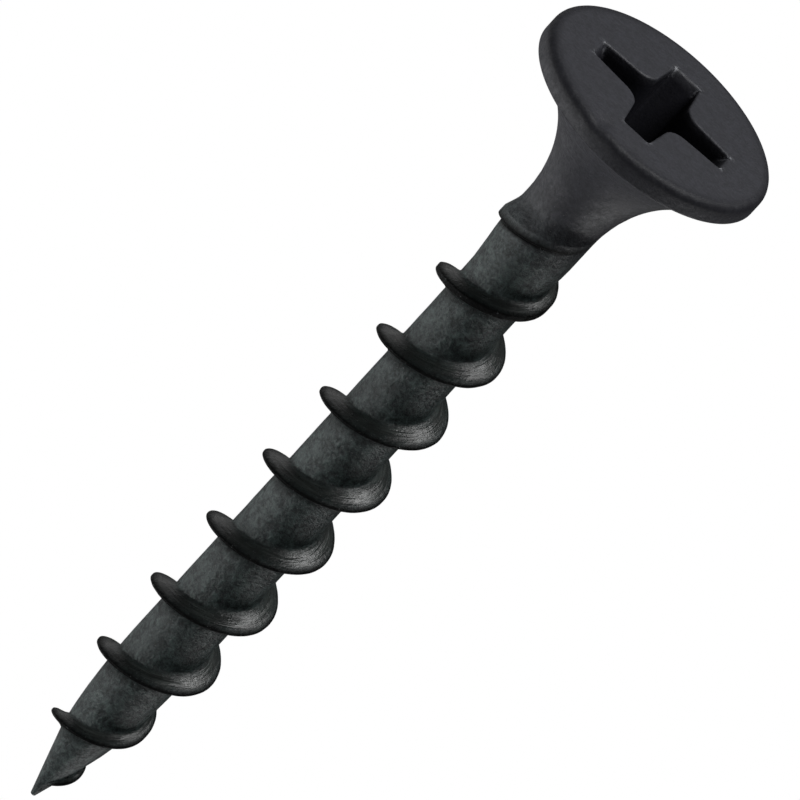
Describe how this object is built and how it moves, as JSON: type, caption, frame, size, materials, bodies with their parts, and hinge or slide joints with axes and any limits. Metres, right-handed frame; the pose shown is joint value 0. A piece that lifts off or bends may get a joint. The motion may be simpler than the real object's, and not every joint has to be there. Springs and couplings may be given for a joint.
{
  "type": "wood screw",
  "caption": "Black bugle-head wood screw with a cross recess, coarse right-hand thread and sharp pinched point, for fixing boards to timber.",
  "frame": {"origin": "centre of the flat head face, in the middle of the cross recess", "axes": "+Z out of the head along the screw's axis, with the point at -Z; the arms of the cross recess lie along X and Y"},
  "size_m": [0.0082, 0.0082, 0.0319],
  "materials": {
    "phosphate_steel": "black phosphate, matte and fine-grained"
  },
  "bodies": {
    "root": {"screw": "phosphate_steel"}
  },
  "joints": []
}
